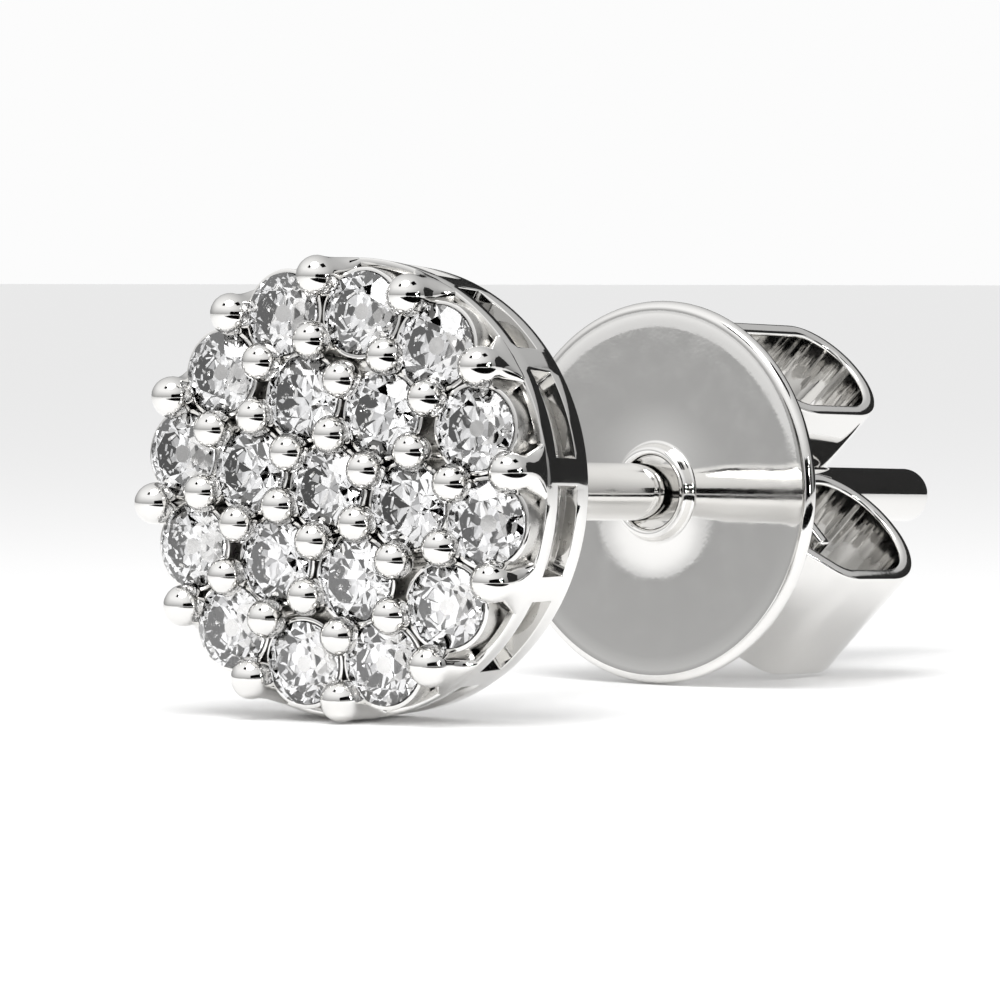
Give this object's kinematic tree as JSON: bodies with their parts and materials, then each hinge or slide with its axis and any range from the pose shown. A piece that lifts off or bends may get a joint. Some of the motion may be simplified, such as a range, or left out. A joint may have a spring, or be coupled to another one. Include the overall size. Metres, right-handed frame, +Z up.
{
  "type": "cluster stud earring",
  "caption": "Round cluster stud earring: pave-set brilliants in beaded prongs on a drum head, plain post, and a butterfly clutch with a wide round disc.",
  "frame": {"origin": "ground point under the middle of the part's box, as it lies on a flat surface", "axes": "+Y along the post from the head towards its tip, which is 2.2 degrees down from level; -Y is the stones' side; +Z up; +X to the right of someone who faces the stones"},
  "size_m": [0.0054, 0.0148, 0.0054],
  "materials": {
    "white_gold": "polished rhodium-plated white gold",
    "diamond": "polished colourless facets"
  },
  "bodies": {
    "head": {"setting": "white_gold", "stone_centre": "diamond", "stone_inner_01": "diamond", "stone_inner_02": "diamond", "stone_inner_03": "diamond", "stone_inner_04": "diamond", "stone_inner_05": "diamond", "stone_inner_06": "diamond", "stone_outer_01": "diamond", "stone_outer_02": "diamond", "stone_outer_03": "diamond", "stone_outer_04": "diamond", "stone_outer_05": "diamond", "stone_outer_06": "diamond", "stone_outer_07": "diamond", "stone_outer_08": "diamond", "stone_outer_09": "diamond", "stone_outer_10": "diamond", "stone_outer_11": "diamond", "stone_outer_12": "diamond"},
    "clutch": {"clutch_disc": "white_gold", "clutch_scroll": "white_gold"}
  },
  "joints": [
    {"name": "clutch_slide", "type": "slide", "parent": "head", "child": "clutch", "axis": [0, 0.9993, -0.0383], "range_m": [-0.0054, 0.0078]}
  ]
}
